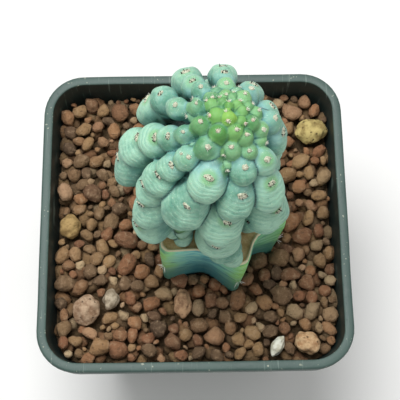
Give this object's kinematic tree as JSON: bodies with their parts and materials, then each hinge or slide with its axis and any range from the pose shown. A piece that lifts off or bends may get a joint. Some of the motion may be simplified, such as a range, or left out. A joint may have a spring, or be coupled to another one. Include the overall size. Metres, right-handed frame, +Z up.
{
  "type": "potted blue candle cactus",
  "caption": "Small grafted blue cactus with strings of rounded tubercles on a ribbed green stock, in a square plastic pot of lava grit.",
  "frame": {"origin": "centre of the pot's base, on the surface that the pot stands on", "axes": "+Z up, +X to the viewer's right and +Y away from the viewer in the picture, square with the pot's sides"},
  "size_m": [0.09, 0.09, 0.1453],
  "materials": {
    "pot_plastic": "satin dark grey-green moulded plastic",
    "lava_grit": "dry matte porous stones",
    "stock_flesh": "waxy green skin with a dry tan cut",
    "scion_flesh": "waxy blue-green skin with a pale bloom",
    "pale_stone": "dry matte pale stone"
  },
  "bodies": {
    "root": {"pot": "pot_plastic", "grit_bed": "lava_grit", "rootstock": "stock_flesh", "scion": "scion_flesh", "yellow_pumice": "pale_stone", "pitted_stone": "pale_stone", "grey_stone": "pale_stone", "long_stone": "pale_stone", "white_chip": "pale_stone", "pink_stone": "pale_stone", "cream_stone": "pale_stone"}
  },
  "joints": []
}
